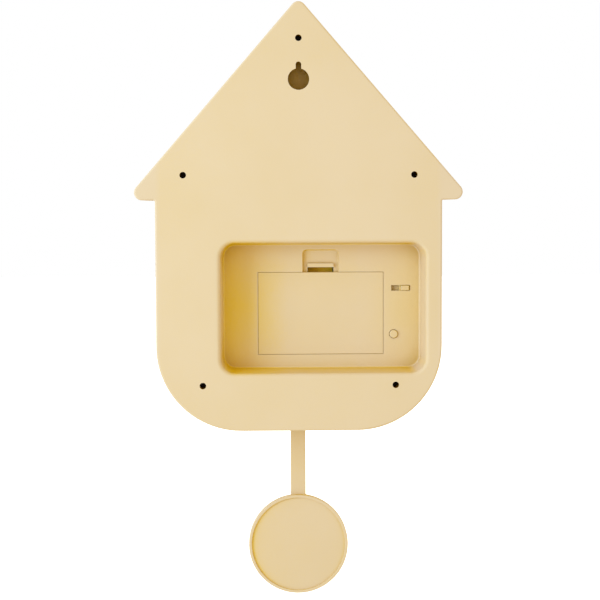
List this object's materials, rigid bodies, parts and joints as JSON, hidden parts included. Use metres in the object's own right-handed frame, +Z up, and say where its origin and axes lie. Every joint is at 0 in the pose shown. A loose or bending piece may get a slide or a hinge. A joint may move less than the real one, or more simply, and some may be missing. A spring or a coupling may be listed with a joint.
{
  "type": "cuckoo clock",
  "caption": "House-shaped wall cuckoo clock with gable roof, dial and hands, bird that slides out through hinged doors, swinging pendulum, and keyhole and battery recess in its back.",
  "frame": {"origin": "the seat of the wall screw in the keyhole's slot, on the plane of the wall", "axes": "+Z up, +Y out of the back towards the wall, so the dial faces -Y and +X is right when facing the dial"},
  "size_m": [0.2194, 0.084, 0.4067],
  "materials": {
    "case_plastic": "fine spark-textured moulded plastic, pale yellow",
    "inner_plastic": "plain moulded plastic, black",
    "screw_steel": "zinc-plated steel",
    "cell_wrap": "plain wrapped cell",
    "contact_metal": "nickel-plated",
    "board_green": "solder mask",
    "black_part": "black moulded plastic",
    "speaker_metal": "dark plated metal",
    "speaker_paper": "pressed paper",
    "dial_face": "matt off-white sheet",
    "dial_mark": "satin dark brown",
    "coil_copper": "enamelled copper wire",
    "brass": "turned brass",
    "washer_rubber": "soft rubber",
    "gear_plastic": "natural acetal",
    "motor_can": "drawn steel can",
    "bird_plastic": "moulded plastic, off-white"
  },
  "bodies": {
    "case": {"front_housing": "case_plastic", "rear_cover": "case_plastic", "case_screws": "screw_steel", "battery_box": "case_plastic", "battery_cell_1": "cell_wrap", "battery_cell_2": "cell_wrap", "battery_cell_3": "cell_wrap", "positive_contacts": "contact_metal", "negative_leaves": "contact_metal", "circuit_board": "board_green", "board_screws": "screw_steel", "sound_chip": "black_part", "slide_switch_body": "case_plastic", "tact_switch_body": "black_part", "speaker_basket": "speaker_metal", "speaker_cone": "speaker_paper", "speaker_magnet": "speaker_metal", "dial_plate": "dial_face", "hour_markers": "dial_mark", "movement_front_case": "black_part", "movement_rear_case": "black_part", "stepper_coil": "coil_copper", "movement_bushing": "brass", "movement_washer": "washer_rubber", "movement_nut": "brass", "cuckoo_frame": "inner_plastic", "frame_screws": "screw_steel", "cuckoo_motor": "motor_can", "left_door_pin": "screw_steel", "right_door_pin": "screw_steel", "pendulum_mount": "inner_plastic", "mount_screws": "screw_steel", "pivot_pin": "screw_steel", "pivot_clip": "screw_steel", "drive_coil": "coil_copper"},
    "pendulum": {"pendulum_hanger": "inner_plastic", "drive_magnet": "speaker_metal", "pendulum_rod": "case_plastic", "pendulum_bob": "case_plastic"},
    "minute": {"minute_arbor": "brass", "minute_hand": "dial_mark", "hand_cap": "dial_mark"},
    "hour": {"hour_wheel": "gear_plastic", "hour_hand": "dial_mark"},
    "motion": {"motion_wheel": "gear_plastic"},
    "bird": {"bird_carriage": "inner_plastic", "cuckoo_bird": "bird_plastic"},
    "left_leaf": {"left_door": "case_plastic"},
    "right_leaf": {"right_door": "case_plastic"},
    "gear": {"drive_gear": "gear_plastic"},
    "rotor": {"motor_pinion": "gear_plastic"},
    "lid": {"battery_door": "case_plastic", "door_latch": "case_plastic"},
    "knob": {"slide_switch_knob": "case_plastic"},
    "button": {"push_button": "case_plastic"}
  },
  "joints": [
    {"name": "pendulum_swing", "type": "hinge", "parent": "case", "child": "pendulum", "pos_m": [0, -0.044, -0.217], "axis": [0, 1, 0], "range_deg": [-10, 10]},
    {"name": "minute_turn", "type": "hinge", "parent": "case", "child": "minute", "pos_m": [0, 0, -0.16], "axis": [0, 1, 0], "continuous": true},
    {"name": "hour_turn", "type": "hinge", "parent": "case", "child": "hour", "pos_m": [0, 0, -0.16], "axis": [0, 1, 0], "continuous": true},
    {"name": "motion_turn", "type": "hinge", "parent": "case", "child": "motion", "pos_m": [0, 0, -0.148], "axis": [0, 1, 0], "continuous": true},
    {"name": "bird_slide", "type": "slide", "parent": "case", "child": "bird", "axis": [0, -1, 0], "range_m": [0, 0.03]},
    {"name": "left_door_hinge", "type": "hinge", "parent": "case", "child": "left_leaf", "pos_m": [-0.016, -0.083, -0.06], "axis": [0, 0, -1], "range_deg": [0, 105]},
    {"name": "right_door_hinge", "type": "hinge", "parent": "case", "child": "right_leaf", "pos_m": [0.016, -0.083, -0.06], "axis": [0, 0, 1], "range_deg": [0, 105]},
    {"name": "gear_turn", "type": "hinge", "parent": "case", "child": "gear", "pos_m": [0, -0.046, -0.0805], "axis": [1, 0, 0], "range_deg": [0, 359]},
    {"name": "rotor_turn", "type": "hinge", "parent": "case", "child": "rotor", "pos_m": [0, -0.046, -0.0943], "axis": [1, 0, 0], "range_deg": [-1290, 0]},
    {"name": "battery_door_hinge", "type": "hinge", "parent": "case", "child": "lid", "pos_m": [-0.01535, -0.024, -0.19528], "axis": [-1, 0, 0], "range_deg": [0, 80], "deforming": ["door_latch"]},
    {"name": "switch_slide", "type": "slide", "parent": "case", "child": "knob", "axis": [1, 0, 0], "range_m": [0, 0.006]},
    {"name": "button_press", "type": "slide", "parent": "case", "child": "button", "axis": [0, -1, 0], "range_m": [0, 0.001], "stiffness_N_per_m": 600}
  ],
  "couplings": [
    {"joint": "hour_turn", "follows": "minute_turn", "ratio": 0.083333},
    {"joint": "motion_turn", "follows": "minute_turn", "ratio": -0.33333},
    {"joint": "left_door_hinge", "follows": "bird_slide", "rad_per_m": 61.08},
    {"joint": "right_door_hinge", "follows": "bird_slide", "rad_per_m": 61.08},
    {"joint": "gear_turn", "follows": "bird_slide", "rad_per_m": 208.33},
    {"joint": "rotor_turn", "follows": "bird_slide", "rad_per_m": -750}
  ]
}
